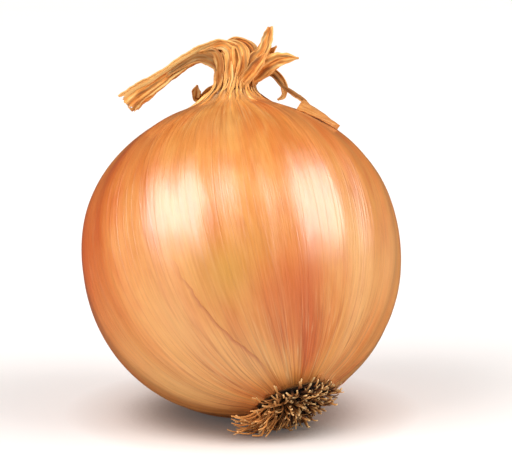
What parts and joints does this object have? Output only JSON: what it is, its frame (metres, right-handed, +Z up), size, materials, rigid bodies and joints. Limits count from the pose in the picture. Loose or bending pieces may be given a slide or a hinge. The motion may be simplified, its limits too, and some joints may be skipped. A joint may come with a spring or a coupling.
{
  "type": "onion",
  "caption": "Large round dry-skinned onion with a dried, bent neck on top and a tuft of dead roots at its lower front.",
  "frame": {"origin": "middle of the small flat spot that the bulb rests on", "axes": "+Z up; -Y is the front; the neck leans back and the roots face the front and the right"},
  "size_m": [0.092, 0.0928, 0.1098],
  "materials": {
    "dry_skin": "satin",
    "dried_leaf": "matte",
    "dead_root": "matte"
  },
  "bodies": {
    "root": {"bulb": "dry_skin", "neck": "dried_leaf", "root_tuft": "dead_root"}
  },
  "joints": []
}
